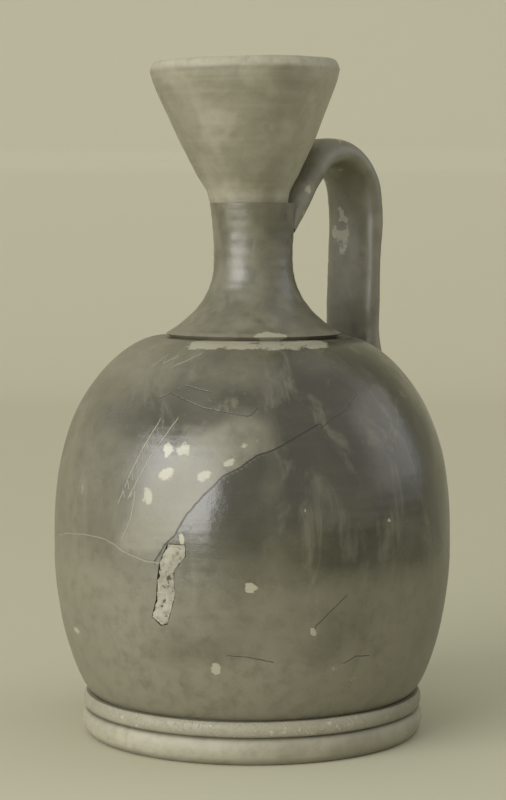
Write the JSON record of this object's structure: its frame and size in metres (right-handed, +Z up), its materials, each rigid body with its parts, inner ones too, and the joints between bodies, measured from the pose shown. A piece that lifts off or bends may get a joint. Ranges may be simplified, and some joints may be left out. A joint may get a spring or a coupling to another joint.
{
  "type": "oil jug",
  "caption": "Squat ceramic oil jug with a ring foot, a wide rounded body, a narrow neck, a tall funnel mouth and one strap handle.",
  "frame": {"origin": "centre of the foot's resting ring, on the ground", "axes": "+Z up along the jug's turning axis, -Y to the front that carries the mended break, +X to the right"},
  "size_m": [0.1066, 0.1066, 0.18],
  "materials": {
    "worn_glaze": "dark semi-gloss slip, worn and stained",
    "matt_slip": "matt worn slip",
    "plaster": "rough plaster"
  },
  "bodies": {
    "root": {"foot_ring": "matt_slip", "body": "worn_glaze", "plaster_fill": "plaster", "neck": "worn_glaze", "mouth": "matt_slip", "handle": "worn_glaze"}
  },
  "joints": []
}
